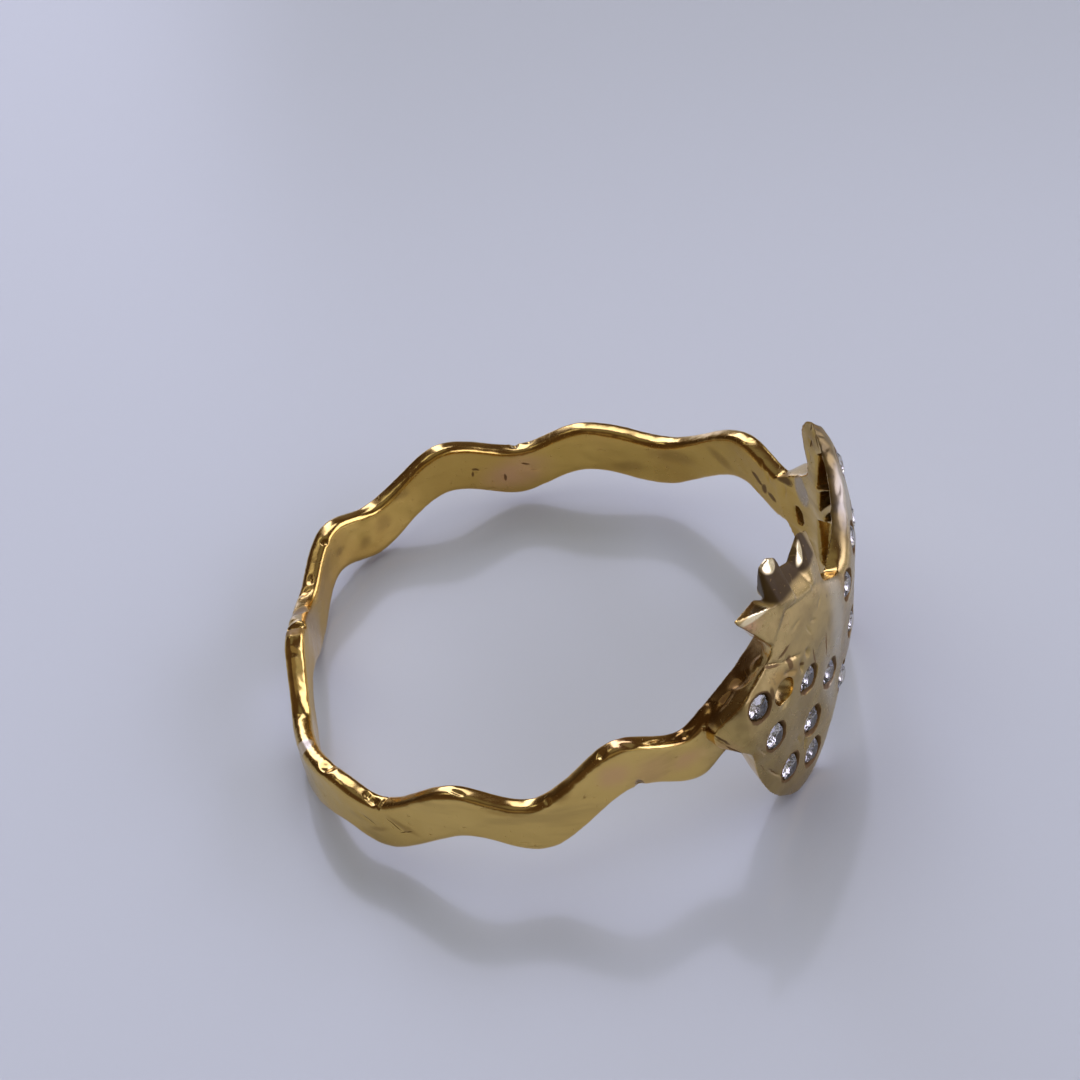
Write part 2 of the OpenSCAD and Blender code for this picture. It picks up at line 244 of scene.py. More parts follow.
# worn places: angle, radius, rise, face (1 out, -1 in, 0 top), half length and width, turn, depth
DENTS = [
    (181, 8.0, 1.62, 0, 0.22, 0.5, 0, 0.22),
    (178.6, 8.2, 1.5, 0, 0.3, 0.3, 0, 0.1),
    (169.5, 8.25, 0.9, 0, 0.5, 0.28, 0, 0.09),
    (159.5, 8.6, 0.27, 0, 0.3, 0.18, 30, 0.06),
    (156, 8.6, 0.3, 0, 0.2, 0.12, -20, 0.05),
    (147.2, 8.72, 0.85, 0, 0.14, 0.12, 0, 0.1),
    (188.2, 8.2, 1.28, 0, 0.12, 0.25, 0, 0.08),
    (219.5, 8.9, 0.38, 0, 0.35, 0.35, 0, 0.12),
    (233, 9.1, 0.15, 0, 0.3, 0.16, 10, 0.09),
    (231, 9.0, 0.14, 0, 0.16, 0.12, 60, 0.07),
    (235.2, 9.05, 0.1, 0, 0.07, 0.4, 0, 0.1),
    (253, 8.95, 1.18, 0, 0.3, 0.1, 15, 0.06),
    (270.4, 9.0, 0.75, 0, 0.12, 0.12, 0, 0.08),
    (97.1, 8.95, 0.49, 0, 0.14, 0.2, 0, 0.14),
    (94, 8.95, 0.5, 0, 0.14, 0.12, 0, 0.06),
    (282.4, 8.9, 1.98, 0, 0.16, 0.14, 0, 0.09),
    (287.5, 8.95, 2.1, 0, 0.3, 0.12, 20, 0.06),
    (293, 8.9, 1.75, 0, 0.35, 0.1, -10, 0.06),
    (299, 8.9, 1.45, 0, 0.25, 0.14, 0, 0.06),
    (288.2, 9.1, 0.42, 1, 0.16, 0.36, 12, 0.16),
    (277.3, 9.1, 0.72, 1, 0.12, 0.05, 40, 0.05),
    (238.8, 9.26, -0.44, 1, 0.4, 0.05, -38, 0.03),
    (231, 9.32, -0.5, 1, 0.4, 0.06, -25, 0.02),
    (236, 9.3, -0.3, 1, 0.25, 0.04, 60, 0.02),
    (106.8, 8.5, 0.2, -1, 0.12, 0.07, 30, 0.03),
    (100.8, 8.5, -0.4, -1, 0.05, 0.14, 0, 0.03),
    (94, 8.5, -0.3, -1, 0.18, 0.04, 20, 0.03),
    (33.5, 8.5, 1.5, -1, 0.3, 0.08, 60, 0.05),
    (31, 8.55, 1.1, -1, 0.22, 0.08, 75, 0.05),
    (29.3, 8.59, -0.49, -1, 0.1, 0.14, 0, 0.08),
    (26, 8.7, 0.9, -1, 0.08, 0.3, 10, 0.05),
    (36, 8.5, 0.2, -1, 0.2, 0.06, 50, 0.03),
    (-43.5, 10.0, 2.95, 1, 0.45, 0.07, -25, 0.08),
    (-39, 10.0, 2.6, 1, 0.5, 0.08, -20, 0.1),
    (-40, 10, 2.2, 1, 0.35, 0.12, -30, 0.09),
    (-36.7, 10, 1.95, 1, 0.1, 0.3, 0, 0.08),
    (-34.5, 10, 2.2, 1, 0.14, 0.2, 0, 0.1),
    (-42.2, 9.9, 1.3, 1, 0.3, 0.2, 20, 0.06),
    (-49.2, 10.1, 0.2, 1, 0.6, 0.06, -60, 0.05),
    (-46.4, 9.85, -1.2, 1, 0.7, 0.07, -55, 0.07),
    (-56.2, 9.6, 1.35, 1, 0.5, 0.06, -55, 0.06),
    (-38.5, 9.95, -0.9, 1, 0.08, 0.3, 20, 0.05),
    (-36.4, 9.9, -1.4, 1, 0.08, 0.35, -10, 0.06),
    (-36, 10, 3.5, 1, 0.3, 0.04, 10, 0.03),
    (-31, 10, 3.0, 1, 0.25, 0.04, -30, 0.03),
    (-33, 10, 2.9, 1, 0.04, 0.3, 20, 0.03),
    (-28, 9.95, 3.3, 1, 0.3, 0.04, 40, 0.03),
    (9.5, 9.32, 4.9, -1, 0.1, 0.35, 20, 0.06),
    (7.2, 9.45, 4.7, -1, 0.08, 0.3, 10, 0.05),
    (12, 9.25, 4.2, -1, 0.12, 0.2, 0, 0.05),
    (13.8, 9.2, 3.5, -1, 0.1, 0.3, 10, 0.05),
    (17, 9.1, 2.6, -1, 0.15, 0.2, 30, 0.04),
    (22, 8.9, 1.9, -1, 0.3, 0.08, 20, 0.05),
    (186.8, 8.07, 1.45, 0, 0.45, 0.2, 0, -0.08),
    (189.8, 8.17, 0.9, 0, 0.45, 0.2, 0, -0.09),
    (192.8, 8.27, 0.4, 0, 0.45, 0.2, 0, -0.09),
    (195.6, 8.36, 0.0, 0, 0.4, 0.2, 0, -0.07),
    (8.6, 9.4, 5.05, 0, 0.16, 0.14, 20, 0.07),
    (6.4, 9.5, 4.98, 0, 0.1, 0.2, -20, 0.06),
    (3.8, 9.6, 4.98, 0, 0.22, 0.1, 30, 0.05),
    (1.2, 9.7, 4.7, 0, 0.2, 0.12, -15, 0.05),
    (-2.5, 9.8, 4.2, 0, 0.3, 0.1, 10, 0.05),
    (-7, 9.85, 3.4, 0, 0.3, 0.12, 0, 0.05),
    (-47, 9.3, 2.3, 0, 0.5, 0.3, 40, 0.1),
    (-44, 9.4, 2.8, 0, 0.25, 0.18, 0, -0.08),
    (-52, 9.2, 2.1, 0, 0.4, 0.2, 0, 0.07),
]
# marks, in this table and the six after it: angle, radius, rise, half sizes along, out and up, turn
DIRT = [
    (26, 8.71, 1.45, 0.42, 0.3, 0.22, 10),
    (35.2, 8.5, 0.7, 0.3, 0.2, 0.1, 40),
    (30.6, 8.54, 0.3, 0.2, 0.2, 0.12, 30),
    (33, 8.5, 0.45, 0.12, 0.2, 0.22, 20),
    (106.8, 8.5, 0.25, 0.13, 0.2, 0.05, 30),
    (107.6, 8.5, 0.1, 0.05, 0.2, 0.1, 10),
    (100.8, 8.5, -0.4, 0.05, 0.2, 0.13, 0),
    (95.5, 8.5, -0.05, 0.13, 0.2, 0.035, 20),
    (288.2, 9.1, 0.42, 0.14, 0.25, 0.3, 12),
    (-43.6, 10.1, 2.9, 0.34, 0.3, 0.045, -25),
    (-40.2, 10.1, 3.05, 0.3, 0.3, 0.05, 10),
    (-39.5, 10.1, 2.55, 0.12, 0.3, 0.28, 0),
    (-36.6, 10.1, 2.0, 0.12, 0.3, 0.06, 0),
    (-32.4, 10.1, 1.7, 0.04, 0.3, 0.4, 10),
    (-27.9, 10.1, 1.5, 0.05, 0.3, 0.5, 0),
    (-56.2, 9.8, 1.4, 0.3, 0.3, 0.035, -55),
    (-54.6, 9.9, 0.9, 0.3, 0.3, 0.03, -50),
    (-46.4, 9.9, -1.2, 0.5, 0.3, 0.04, -55),
    (-49.2, 10.1, -0.6, 0.5, 0.3, 0.03, -60),
    (-38.5, 10, -0.9, 0.04, 0.3, 0.25, 20),
    (-36.4, 9.9, -1.4, 0.04, 0.3, 0.28, -10),
    (-45.2, 10, 2.1, 0.1, 0.3, 0.25, 0),
    (183.2, 7.95, 1.62, 0.28, 0.36, 0.3, 0),
    (238, 9.26, -0.42, 0.28, 0.2, 0.022, -38),
    (232, 9.3, -0.55, 0.25, 0.2, 0.025, -25),
    (240.5, 9.26, -0.62, 0.2, 0.2, 0.022, 20),
    (10.6, 9.32, 4.9, 0.03, 0.2, 0.2, 20),
    (9.3, 9.38, 4.5, 0.04, 0.2, 0.25, -10),
    (12.3, 9.25, 4.1, 0.035, 0.2, 0.2, 15),
]
SMUDGE = [
    (125.1, 8.5, 0.55, 0.3, 0.3, 0.16, 10),
    (131, 8.5, -0.1, 0.3, 0.3, 0.3, 0),
    (136.5, 8.5, -0.4, 0.25, 0.3, 0.2, 0),
    (144.1, 8.6, 0.1, 0.2, 0.3, 0.16, 0),
    (60, 8.5, 0.2, 0.7, 0.3, 0.25, 0),
    (72, 8.5, -0.5, 0.5, 0.3, 0.2, 0),
    (47, 8.5, 0.7, 0.5, 0.3, 0.2, 30),
    (240, 9.2, -0.4, 0.5, 0.3, 0.12, -30),
    (234, 9.2, -0.8, 0.4, 0.3, 0.1, 20),
    (262, 9.2, 0.5, 0.6, 0.3, 0.1, -15),
    (273, 9.2, 0.9, 0.3, 0.3, 0.2, 30),
    (11.5, 9.3, 4.3, 0.22, 0.3, 0.4, 20),
    (8.6, 9.4, 4.85, 0.16, 0.3, 0.25, -20),
    (-18, 9.9, 2.6, 0.2, 0.3, 0.5, 0),
    (-52, 9.9, 0.2, 0.4, 0.3, 0.2, 30),
    (-43, 10.05, 2.35, 0.4, 0.4, 0.26, -20),
    (-39.3, 10.05, 2.15, 0.45, 0.4, 0.24, -20),
]
COPPER = [
    (98, 8.5, -0.3, 1.0, 0.3, 0.55, 0),
    (284, 9.1, 1.2, 0.5, 0.4, 0.4, 0),
    (291, 9.1, 0.9, 0.6, 0.4, 0.45, 0),
    (298, 9.1, 0.7, 0.5, 0.4, 0.3, 0),
    (287.5, 8.8, 2.1, 0.4, 0.4, 0.1, 0),
    (-58, 9.9, 0.7, 0.6, 0.4, 0.5, 0),
    (-47, 9.8, 4.6, 0.5, 0.4, 0.3, 0),
]
PALE = [
    (-22, 9.9, 1.5, 0.5, 0.5, 1.8, 0),
    (-26, 9.8, -0.5, 0.4, 0.5, 1.4, 10),
    (-2, 9.95, 3.8, 1.0, 0.3, 0.9, 0),
]
# painted reflections: flat facets tinted pale grey and made less metallic, standing for the white they
# mirror
PAINTED_GLARE = [
    (20.4, 8.98, 1.35, 0.32, 0.3, 0.6, 0),
    (208.5, 9.0, 0.06, 0.36, 0.45, 0.22, 0),
]
MATT = [(168.6, 8.2, 0.7, 0.5, 0.22, 0.5, 0)]
# painted highlights: pale bright spots on the ridges and tops of the spikes
PAINTED_HIGHLIGHTS = [
    (-36, 9.45, 5.68, 0.3, 0.4, 0.2, 0),
    (-26.8, 9.5, 4.92, 0.36, 0.4, 0.1, 41),
    (-44.5, 9.83, 4.9, 0.6, 0.3, 0.12, -5),
]
# how far from a stone's middle the painted shade round its seat reaches
SEAT_SHADE_REACH = 0.56

# seat cutters: radius, height over the face, the seat's own depth taking the place of None
SEAT = [(0.18, None), (SEAT_D / 2 - 0.04, -0.28), (SEAT_D / 2, -0.2), (SEAT_D / 2, -0.1),
        (SEAT_D / 2 + 0.08, -0.01), (SEAT_D / 2 + 0.1, 0.3)]
LOST_SEAT = [(0.2, -0.42), (0.34, -0.3), (SEAT_D / 2, -0.12), (SEAT_D / 2 + 0.06, 0.3)]
# cut of a stone, as shares of its radius: radius, height, corners, share of a step by which they are turned
CUT = [(0.56, 0.33, 8, 0), (0.8, 0.19, 8, 0.5), (1, 0.03, 16, 0), (1, -0.03, 16, 0), (0.4, -0.38, 8, 0.5)]
CUT_POINT = -0.55
# rows of the head's mesh: from and to as shares of its reach, number of rows
FACE_ROWS = [(0.012, 0.9, 58), (0.915, 1, 9)]
BACK_ROWS = [(1, 0.95, 6), (0.93, 0.012, 42)]
RIM_ROWS = (0.12, 0.3, 0.5, 0.7, 0.88)
# unevenness of the whole metal: height, length of the waves, seed
UNEVEN = [(0.016, 2.4, 11), (0.007, 0.8, 12), (0.003, 0.35, 13)]

# room: turn from and to, rise from and to in degrees, soft edge, tone
PANES = [
    (-65, 60, -25, 42, 12, (0.42, 0.41, 0.4)),
    (70, 108, 35, 61, 5, (2.2, 2.2, 3.0)),
    (97, 116, 8, 58, 4, (2.9, 2.95, 4.2)),
    (126, 158, 44, 62, 5, (0.95, 0.95, 0.95)),
    (-115, -55, 18, 52, 5, (0.24, 0.2, 0.16)),
    (-42, 48, 8, 40, 6, (2.7, 2.7, 3.8)),
    (-100, -60, 46, 62, 5, (0.06, 0.04, 0.03)),
    (120, 168, -4, 32, 8, (0.05, 0.032, 0.022)),
]
ROOM_LOW, ROOM_MIDDLE, ROOM_TOP = (0.15, 0.115, 0.085), (0.08, 0.05, 0.034), (0.2, 0.19, 0.18)

# tones of the gold, the stones and the table: red, green, blue
YELLOW, DEEP_YELLOW, BROWN_STREAK = (0.81, 0.56, 0.18), (0.75, 0.51, 0.155), (0.5, 0.34, 0.12)
WARM_INSIDE, CLOUDED_INSIDE = (0.76, 0.48, 0.105), (0.54, 0.31, 0.07)
BRONZE_FACE, MOTTLED_FACE, DASHED_FACE = (0.4, 0.3, 0.135), (0.3, 0.2, 0.075), (0.3, 0.2, 0.08)
WORN_EDGE, RED_PATCH, RED_STAIN = (0.2, 0.145, 0.065), (0.68, 0.4, 0.14), (0.76, 0.42, 0.24)
# on the next line, the middle tone is a painted reflection of white on flat facets
PALE_STAIN, GLARE_TINT, MATT_SPOT = (0.8, 0.75, 0.62), (0.66, 0.59, 0.5), (0.16, 0.12, 0.08)
# on the next line: the arm's tone is a painted dark reflection, the web's a painted shade and the tip's a
# painted highlight
ARM_REFLECTION_TINT, WEB_SHADE_TINT, HIGHLIGHT_TINT = (0.3, 0.15, 0.04), (0.045, 0.024, 0.007), (0.98, 0.84, 0.5)
# the last tone on the next line is brown grime that also serves as painted shade in recesses and round the
# seats
SMUDGED, SCRATCHED, DIRT_AND_SHADE_BROWN = (0.42, 0.25, 0.07), (0.4, 0.26, 0.09), (0.11, 0.05, 0.013)
WARM_STONE, GREY_STONE = (0.8, 0.77, 0.71), (0.55, 0.49, 0.4)
PALE_TABLE, COOL_TABLE = (0.492, 0.522, 0.535), (0.483, 0.512, 0.523)


# places

def at(a, r, w):
    """The point at angle a, radius r and rise w."""
    a = np.radians(a)
    return np.stack(np.broadcast_arrays(r * np.cos(a), r * np.sin(a), w), -1)


def lookup(table, x, column):
    """The table's first column, the column asked for, x kept between the ends, and the row before each x."""
    t = np.array([row[0] for row in table], float)
    v = np.array([row[column] for row in table], float)
    x = np.clip(np.asarray(x, float), t[0], t[-1])
    return t, v, x, np.clip(np.searchsorted(t, x) - 1, 0, len(t) - 2)


def through(table, x, column=1):
    """Runs smoothly through the rows of a table."""
    t, v, x, i = lookup(table, x, column)
    slope = np.empty_like(v)
    slope[1:-1] = (v[2:] - v[:-2]) / (t[2:] - t[:-2])
    slope[0] = (v[1] - v[0]) / (t[1] - t[0])
    slope[-1] = (v[-1] - v[-2]) / (t[-1] - t[-2])
    h = t[i + 1] - t[i]
    f = (x - t[i]) / h
    return (v[i] * (1 + 2 * f) * (1 - f) ** 2 + v[i + 1] * f * f * (3 - 2 * f)
            + h * f * (1 - f) * (slope[i] * (1 - f) - slope[i + 1] * f))


def ease(x):
    """0 below 0, 1 above 1, smooth between."""
    f = np.clip(x, 0, 1)
    return f * f * (3 - 2 * f)


def swing(table, x):
    """Swings between the rows of a table, level at each row."""
    t, v, x, i = lookup(table, x, 1)
    return v[i] + (v[i + 1] - v[i]) * ease((x - t[i]) / (t[i + 1] - t[i]))


def ripple(p, wave, seed, count=9):
    """Soft unevenness of hand-worked metal, mostly from -1 to 1, at places p."""
    rng = np.random.default_rng(seed)
    out = np.zeros(p.shape[:-1])
    for _ in range(count):
        way = rng.normal(size=3)
        way *= rng.uniform(0.6, 1.5) / (np.linalg.norm(way) * wave)
        out += np.sin(p @ way * 2 * math.pi + rng.uniform(0, 6.3))
    return out / (count / 2)


def laid():
    """From the ring's own millimetres to its place on the table, in metres."""
    way = math.radians(LAY_WAY)
    tilt = Matrix.Rotation(math.radians(LAY_TILT), 4, Vector((math.sin(way), -math.cos(way), 0)))
    return Matrix.Scale(MM, 4) @ Matrix.Translation(LAY_SHIFT) @ tilt


LAID = laid()


# meshes

def new_object(name, data):
    ob = bpy.data.objects.new(name, data)
    bpy.context.scene.collection.objects.link(ob)
    return ob


def mesh_object(name, points, faces):
    me = bpy.data.meshes.new(name)
    me.from_pydata([tuple(p) for p in points], [], [tuple(int(i) for i in f) for f in faces])
    me.update()
    return new_object(name, me)


def bmesh_object(name, bm):
    me = bpy.data.meshes.new(name)
    bm.to_mesh(me)
    bm.free()
    return new_object(name, me)


def outward(ob):
    """The object with all its faces pointing outwards."""
    bm = bmesh.new()
    bm.from_mesh(ob.data)
    bmesh.ops.recalc_face_normals(bm, faces=bm.faces)
    if bm.calc_volume(signed=True) < 0:
        bmesh.ops.reverse_faces(bm, faces=bm.faces)
    bm.to_mesh(ob.data)
    bm.free()
    return ob


def tube_faces(rows, sides):
    """Faces between rows of points that each run once round."""
    j = np.arange(sides)
    k = (j + 1) % sides
    starts = np.arange(rows - 1) * sides
    quads = [np.stack([s + j, s + k, s + sides + k, s + sides + j], 1) for s in starts]
    return np.concatenate(quads).tolist()


def fans(rows, sides):
    """Faces that close the first row round one more point, and the last row round another."""
    first, last = rows * sides, rows * sides + 1
    end = (rows - 1) * sides
    turns = [(j, (j + 1) % sides) for j in range(sides)]
    return [(first, k, j) for j, k in turns] + [(last, end + j, end + k) for j, k in turns]


def bake(ob):
    """Makes the object's evaluated shape its plain mesh, with no modifier left."""
    graph = bpy.context.evaluated_depsgraph_get()
    me = bpy.data.meshes.new_from_object(ob.evaluated_get(graph))
    old = ob.data
    ob.modifiers.clear()
    ob.data = me
    if old.users == 0:
        bpy.data.meshes.remove(old)


def point_attribute(me, name, kind, values):
    key = "vector" if kind == "FLOAT_VECTOR" else "value"
    me.attributes.new(name, kind, "POINT").data.foreach_set(key, np.asarray(values, float).ravel())


# node trees

class Wire:
    """A node's socket that takes part in sums."""

    tree = None

    def __init__(self, socket):
        self.socket = socket

    @classmethod
    def node(cls, kind, values=None, out=0, **settings):
        """A new node: its settings first, then the values or links of its sockets."""
        made = cls.tree.nodes.new(kind)
        for name, value in settings.items():
            setattr(made, name, value)
        cls.feed(made, values or {})
        return Wire(made.outputs[out]) if made.outputs else None

    @classmethod
    def feed(cls, made, values):
        """Sets or links the sockets of a node."""
        for key, value in values.items():
            if isinstance(value, Wire):
                cls.tree.links.new(value.socket, made.inputs[key])
            else:
                made.inputs[key].default_value = value

    @classmethod
    def maths(cls, operation, *values):
        """Math for numbers, Vector Math where a value is a vector or a colour."""
        vectors = any(isinstance(v, tuple) or isinstance(v, Wire) and v.socket.type in ("VECTOR", "RGBA")
                      for v in values)
        kind = "ShaderNodeVectorMath" if vectors else "ShaderNodeMath"
        return cls.node(kind, dict(enumerate(values)), operation=operation)

    def __add__(self, other):
        return Wire.maths("ADD", self, other)

    __radd__ = __add__

    def __sub__(self, other):
        return Wire.maths("SUBTRACT", self, other)

    def __rsub__(self, other):
        return Wire.maths("SUBTRACT", other, self)

    def __mul__(self, other):
        return Wire.maths("MULTIPLY", self, other)

    __rmul__ = __mul__

    def __truediv__(self, other):
        return Wire.maths("DIVIDE", self, other)

    def between(self, low, high):
        """0 below low, 1 above high, smooth between."""
        return Wire.node("ShaderNodeMapRange", {"Value": self, "From Min": low, "From Max": high},
                         interpolation_type="SMOOTHSTEP")

    def within(self, low, full, fall, high):
        """1 from full to fall, 0 below low and above high, smooth between."""
        return self.between(low, full) * (1 - self.between(fall, high))


def split(vector):
    """The three parts of a vector."""
    return [Wire(part) for part in Wire.node("ShaderNodeSeparateXYZ", {0: vector}).socket.node.outputs]


def most(masks):
    """The highest of several masks. A generator makes each as it is compared, so few wait at once."""
    return reduce(lambda a, b: Wire.maths("MAXIMUM", a, b), masks)


class Tree:
    """A Geometry Nodes tree with named inputs: label, kind and value."""

    def __init__(self, name, inputs):
        Wire.tree = self.tree = bpy.data.node_groups.new(name, "GeometryNodeTree")
        self.socket("Geometry", "INPUT", "Geometry")
        self.values = {}
        for label, kind, value in inputs:
            self.values[self.socket(label, "INPUT", kind).identifier] = value
        self.socket("Geometry", "OUTPUT", "Geometry")
        self.start = Wire.node("NodeGroupInput").socket.node

    def socket(self, label, way, kind):
        return self.tree.interface.new_socket(label, in_out=way, socket_type="NodeSocket" + kind)

    def __getitem__(self, label):
        return Wire(self.start.outputs[label])

    def apply(self, geometry, material, ob):
        """Ends the tree, runs it on the object and bakes the result."""
        real = Wire.node("GeometryNodeRealizeInstances", {"Geometry": geometry})
        painted = Wire.node("GeometryNodeSetMaterial", {"Geometry": real, "Material": material})
        Wire.node("NodeGroupOutput", {0: painted})
        build = ob.modifiers.new("build", "NODES")
        build.node_group = self.tree
        for identifier, value in self.values.items():
            build[identifier] = value
        bake(ob)


def attribute(name, kind="FLOAT"):
    return Wire.node("GeometryNodeInputNamedAttribute", {"Name": name}, data_type=kind)


# band

def band_path():
    """The line the band follows, with the rises of its edges and its inside radius at each point."""
    a = np.arange(BAND_FROM, BAND_TO, BAND_STEP)
    low = swing(WAVE, a - WAVE_LAG) - BAND_HEIGHT / 2
    high = swing(WAVE, a) + BAND_HEIGHT / 2
    inside = INNER_RADIUS + through(BEND, a)
    ob = mesh_object("band", at(a, inside, (low + high) / 2), [])
    me = ob.data
    me.edges.add(len(a) - 1)
    me.edges.foreach_set("vertices", np.stack([np.arange(len(a) - 1), np.arange(1, len(a))], 1).ravel())
    me.update()
    for name, v in (("angle", np.radians(a)), ("low", low), ("high", high), ("inside", inside)):
        point_attribute(me, name, "FLOAT", v)
    return ob


def build_band(metal):
    """A rounded strip swept along the line, each of its points then set by the edges' rises there."""
    t = Tree("band strip", [("Wall", "Float", BAND_WALL), ("Height", "Float", BAND_HEIGHT),
                            ("Corner", "Float", BAND_CORNER), ("Sides", "Int", BAND_SIDES),
                            ("Metal", "Material", metal)])
    box = Wire.node("GeometryNodeCurvePrimitiveQuadrilateral", {"Width": t["Wall"], "Height": t["Height"]})
    soft = Wire.node("GeometryNodeFilletCurve", {"Curve": box, "Radius": t["Corner"], "Count": 5},
                     mode="POLY")
    profile = Wire.node("GeometryNodeResampleCurve", {"Curve": soft, "Count": t["Sides"]})
    x, y, _ = split(Wire.node("GeometryNodeInputPosition"))
    for name, value in (("across", x + t["Wall"] * 0.5), ("up", y / t["Height"] + 0.5)):
        stored = {"Geometry": profile, "Name": name, "Value": value}
        profile = Wire.node("GeometryNodeStoreNamedAttribute", stored, data_type="FLOAT", domain="POINT")
    line = Wire.node("GeometryNodeMeshToCurve", {0: t["Geometry"]})
    tube = Wire.node("GeometryNodeCurveToMesh", {"Curve": line, "Profile Curve": profile, "Fill Caps": True})
    low, high, angle = attribute("low"), attribute("high"), attribute("angle")
    rise = low + (high - low) * attribute("up")
    r = attribute("inside") + attribute("across")
    x, y = r * Wire.maths("COSINE", angle), r * Wire.maths("SINE", angle)
    place = Wire.node("ShaderNodeCombineXYZ", {0: x, 1: y, 2: rise})
    moved = Wire.node("GeometryNodeSetPosition", {"Geometry": tube, "Position": place})
    ob = band_path()
    t.apply(moved, t["Metal"], ob)
    return outward(ob)


# head

def head_place(d, q):
    """Angle and rise at a distance q from the head's middle, in direction d."""
    d = np.radians(d)
    return HEAD_AT + q * np.cos(d) / MM_PER_DEG, HEAD_RISE + q * np.sin(d)


def face_at(a, w):
    """Radius of the head's outer face: round, flared at the near side, and sunk to the band at its end."""
    r = through(FACE, w) + through(FLARE, a) * np.clip(FLARE_MOST - FLARE_FALL * w, FLARE_LEAST, FLARE_MOST)
    return r + (SINK_RADIUS - r) * ease((SINK_FROM - a) / SINK_LONG)


def face_radius(a, w, s, roll):
    """The same, rolled over towards the outline, which is at share s = 1."""
    return face_at(a, w) - HEAD_ROUND * roll * s ** ROLL_POWER


def back_radius(a, w, s, roll):
    """Radius of the head's back, hollowed inside its rim."""
    rim = np.minimum(through(BACK, a), face_at(a, w) - HEAD_ROUND * roll - RIM_WALL)
    floor = face_at(a, w) - HEAD_WALL
    depth = (ease((HOLLOW_SHARE + HOLLOW_SOFT - s) / HOLLOW_SOFT) * ease((HOLLOW_TO - a) / HOLLOW_SOFT_TO)
             * ease((a - HOLLOW_FROM) / HOLLOW_SOFT_FROM))
    return rim + (np.maximum(floor, rim) - rim) * depth


def build_head(metal):
    """Rows of points from the middle of the face out to its edge, round the rim, and back behind it."""
    d = np.arange(HEAD_SIDES) * 360 / HEAD_SIDES
    reach, step, roll = (through(REACH, d, column) for column in (1, 2, 3))
    rows = []
    for s in np.concatenate([np.linspace(*run) for run in FACE_ROWS]):
        a, w = head_place(d, s * reach)
        rows.append(at(a, face_radius(a, w, s, roll), w))
    outer_edge = rows[-1]
    a, w = head_place(d, reach - step)
    inner_edge = at(a, back_radius(a, w, 1, roll), w)
    for f in RIM_ROWS:
        rows.append(outer_edge * (1 - f) + inner_edge * f)
    for s in np.concatenate([np.linspace(*run) for run in BACK_ROWS]):
        a, w = head_place(d, s * (reach - step))
        rows.append(at(a, back_radius(a, w, s, roll), w))
    a, w = head_place(0, 0)
    ends = np.stack([at(a, face_at(a, w), w), at(a, back_radius(a, w, 0, 1), w)])
    faces = tube_faces(len(rows), HEAD_SIDES) + fans(len(rows), HEAD_SIDES)
    ob = outward(mesh_object("head", np.concatenate(rows + [ends]), faces))
    ob.data.materials.append(metal)
    return ob


def hulled(name, corners, grain, soft=0.0):
    """A form spanned between small blocks at its corners, its edges worn round by soft."""
    bm = bmesh.new()
    for a, r, w in corners:
        place = Matrix.Translation(Vector(at(a, r, w))) @ Matrix.Rotation(math.radians(a), 4, "Z")
        bmesh.ops.create_cube(bm, size=grain, matrix=place)
    out = bmesh.ops.convex_hull(bm, input=bm.verts, use_existing_faces=False)
    loose = [g for g in out["geom_interior"] + out["geom_unused"] if isinstance(g, bmesh.types.BMVert)]
    bmesh.ops.delete(bm, geom=list(set(loose)), context="VERTS")
    hull = set(g for g in out["geom"] if isinstance(g, bmesh.types.BMFace))
    bmesh.ops.delete(bm, geom=[f for f in bm.faces if f not in hull], context="FACES_ONLY")
    bmesh.ops.dissolve_limit(bm, angle_limit=math.radians(9), verts=bm.verts, edges=bm.edges)
    if soft:
        bmesh.ops.bevel(bm, geom=bm.edges[:], offset=soft, segments=3, profile=0.6, affect="EDGES",
                        clamp_overlap=True)
    bmesh.ops.triangulate(bm, faces=bm.faces)
    bmesh.ops.recalc_face_normals(bm, faces=bm.faces)
    return outward(bmesh_object(name, bm))


def stand(a, w, near=0.3, turn=2):
    """The frame of a stone on the outer face, square to the slope between points near and turn off."""
    r = float(face_at(a, w))
    lean = math.atan(float(face_at(a, w + near) - face_at(a, w - near)) / (2 * near))
    side = math.atan(float(face_at(a + turn, w) - face_at(a - turn, w)) / (r * math.radians(2 * turn)))
    return (Matrix.Translation(Vector(at(a, r, w))) @ Matrix.Rotation(math.radians(a) - side, 4, "Z")
            @ Matrix.Rotation(math.radians(90) + lean, 4, "Y"))


def seat_cutter(name, profile, a, w):
    """A round form from rows of radius and height, closed at both ends, that stands on the outer face."""
    turn = np.arange(SEAT_SIDES) * 2 * math.pi / SEAT_SIDES
    rows = [np.stack([r * np.cos(turn), r * np.sin(turn), np.full(SEAT_SIDES, h)], 1) for r, h in profile]
    ends = np.array([[0, 0, profile[0][1]], [0, 0, profile[-1][1]]])
    faces = tube_faces(len(rows), SEAT_SIDES) + fans(len(rows), SEAT_SIDES)
    ob = mesh_object(name, np.concatenate(rows + [ends]), faces)
    ob.data.transform(stand(a, w))
    return outward(ob)


def merge(ob, others, operation):
    """Unites with or cuts by the other objects, and removes them."""
    group = bpy.data.collections.new("tools")
    bpy.context.scene.collection.children.link(group)
    for o in others:
        group.objects.link(o)
    with_modifier(ob, "BOOLEAN", operation=operation, solver="MANIFOLD", operand_type="COLLECTION",
                  collection=group)
    for o in others:
        bpy.data.objects.remove(o)
    bpy.data.collections.remove(group)


def with_modifier(ob, kind, **settings):
    step = ob.modifiers.new("step", kind)
    for name, value in settings.items():
        setattr(step, name, value)
    bake(ob)


